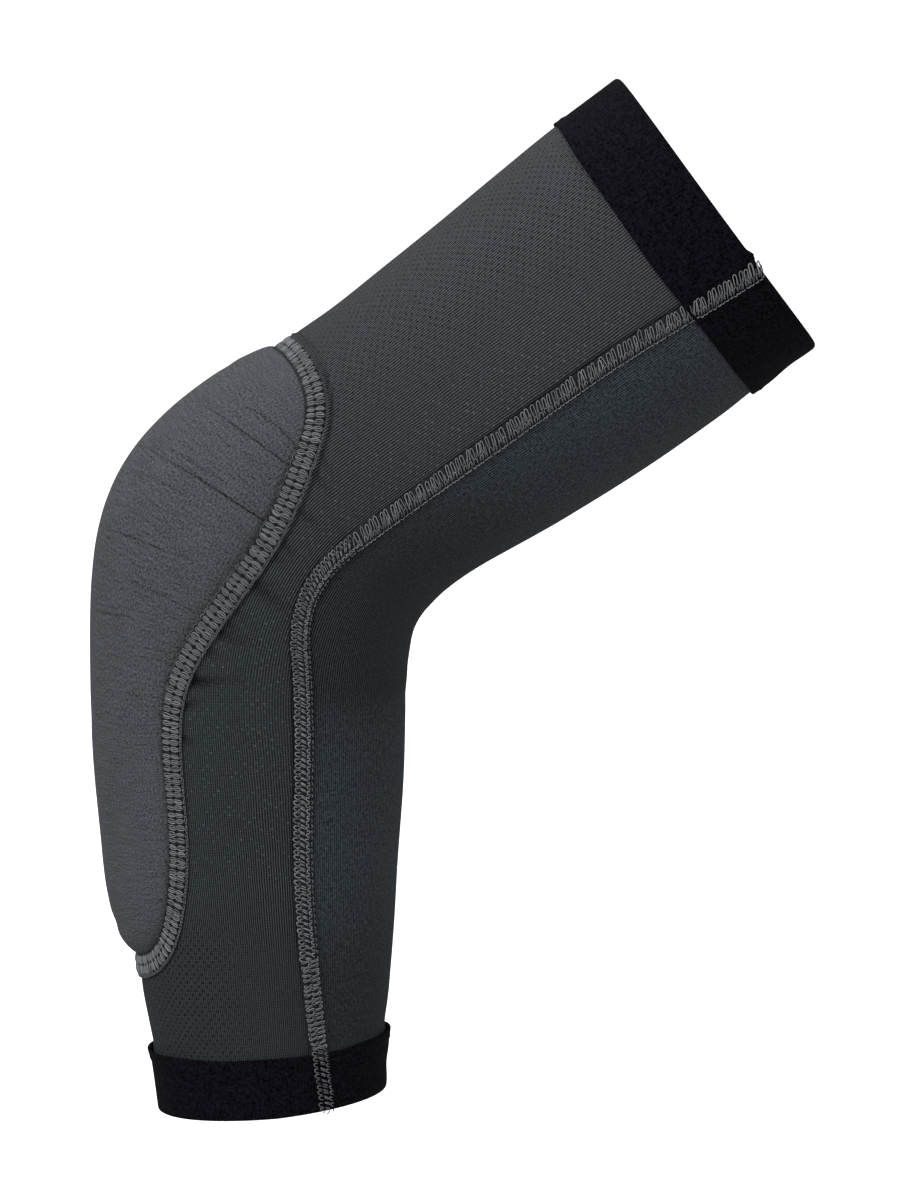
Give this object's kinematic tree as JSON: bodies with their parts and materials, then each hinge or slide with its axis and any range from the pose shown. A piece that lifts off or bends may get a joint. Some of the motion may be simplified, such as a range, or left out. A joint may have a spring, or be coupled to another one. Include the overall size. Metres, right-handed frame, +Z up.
{
  "type": "padded elbow sleeve",
  "caption": "Knitted compression sleeve for the elbow and forearm, with a foam pad over the point of the elbow, flat seams and folded elastic cuffs.",
  "frame": {"origin": "centre of the upper arm opening", "axes": "+Z up along the forearm tube, +X towards the crook of the elbow, +Y across the arm"},
  "size_m": [0.2178, 0.0972, 0.2883],
  "materials": {
    "back_knit": "dark grey rib knit with small staggered perforations",
    "front_knit": "smooth dark greenish grey plain knit",
    "pad_knit": "lighter grey brushed knit with a soft sheen",
    "lining_knit": "plain dark lining knit",
    "pad_foam": "closed-cell foam, matte",
    "seam_thread": "twisted grey polyester thread",
    "cuff_knit": "matte black brushed elastic knit",
    "cuff_elastic": "woven flat elastic",
    "cuff_thread": "black overlock thread"
  },
  "bodies": {
    "upper_arm": {"upper_back_panel": "back_knit", "upper_front_panel": "front_knit", "upper_right_side_seam": "seam_thread", "upper_left_side_seam": "seam_thread", "upper_cuff_band": "cuff_knit", "upper_cuff_elastic": "cuff_elastic", "upper_cuff_stitching": "cuff_thread", "elbow_back_panel": "back_knit", "elbow_front_panel": "front_knit", "elbow_right_side_seam": "seam_thread", "elbow_left_side_seam": "seam_thread", "elbow_pad_cover": "pad_knit", "elbow_pad_foam": "pad_foam", "elbow_pad_backing": "lining_knit", "elbow_pad_seam": "seam_thread"},
    "forearm": {"forearm_back_panel": "back_knit", "forearm_front_panel": "front_knit", "forearm_right_side_seam": "seam_thread", "forearm_left_side_seam": "seam_thread", "forearm_pad_cover": "pad_knit", "forearm_pad_foam": "pad_foam", "forearm_pad_backing": "lining_knit", "forearm_pad_seam": "seam_thread", "forearm_cuff_band": "cuff_knit", "forearm_cuff_elastic": "cuff_elastic", "forearm_cuff_stitching": "cuff_thread"}
  },
  "joints": [
    {"name": "elbow_flex", "type": "hinge", "parent": "upper_arm", "child": "forearm", "pos_m": [-0.14124, 0, -0.09243], "axis": [0, -1, 0], "range_deg": [-58, 57], "stiffness_Nm_per_rad": 0.12, "deforming": ["elbow_back_panel", "elbow_front_panel", "elbow_right_side_seam", "elbow_left_side_seam", "elbow_pad_cover", "elbow_pad_foam", "elbow_pad_backing", "elbow_pad_seam"]}
  ]
}
